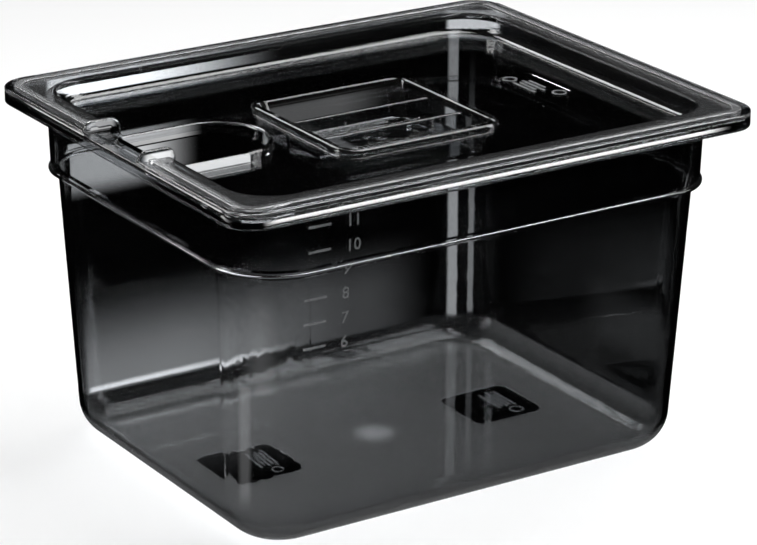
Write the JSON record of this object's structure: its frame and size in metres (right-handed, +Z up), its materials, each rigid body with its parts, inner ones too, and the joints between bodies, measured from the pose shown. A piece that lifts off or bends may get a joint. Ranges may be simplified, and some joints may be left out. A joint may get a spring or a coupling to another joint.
{
  "type": "lidded sous vide container",
  "caption": "Rectangular half-size food container with a rolled rim and stacking shoulder, and a lift-off lid with a circulator notch and a sunk grip.",
  "frame": {"origin": "middle of the container's footprint, on the surface it stands on", "axes": "+X along the long side, with the lid's notch at the -X end; +Y along the short side; +Z up"},
  "size_m": [0.325, 0.265, 0.2042],
  "materials": {
    "container_polycarbonate": "clear moulded polycarbonate, smoke-dark, polished walls, frosted floor",
    "lid_polycarbonate": "clear moulded polycarbonate, smoke-dark, polished"
  },
  "bodies": {
    "container": {"container": "container_polycarbonate"},
    "lid": {"lid": "lid_polycarbonate"}
  },
  "joints": [
    {"name": "lid_lift", "type": "slide", "parent": "container", "child": "lid", "axis": [0, 0, 1], "range_m": [0, 0.12]}
  ]
}
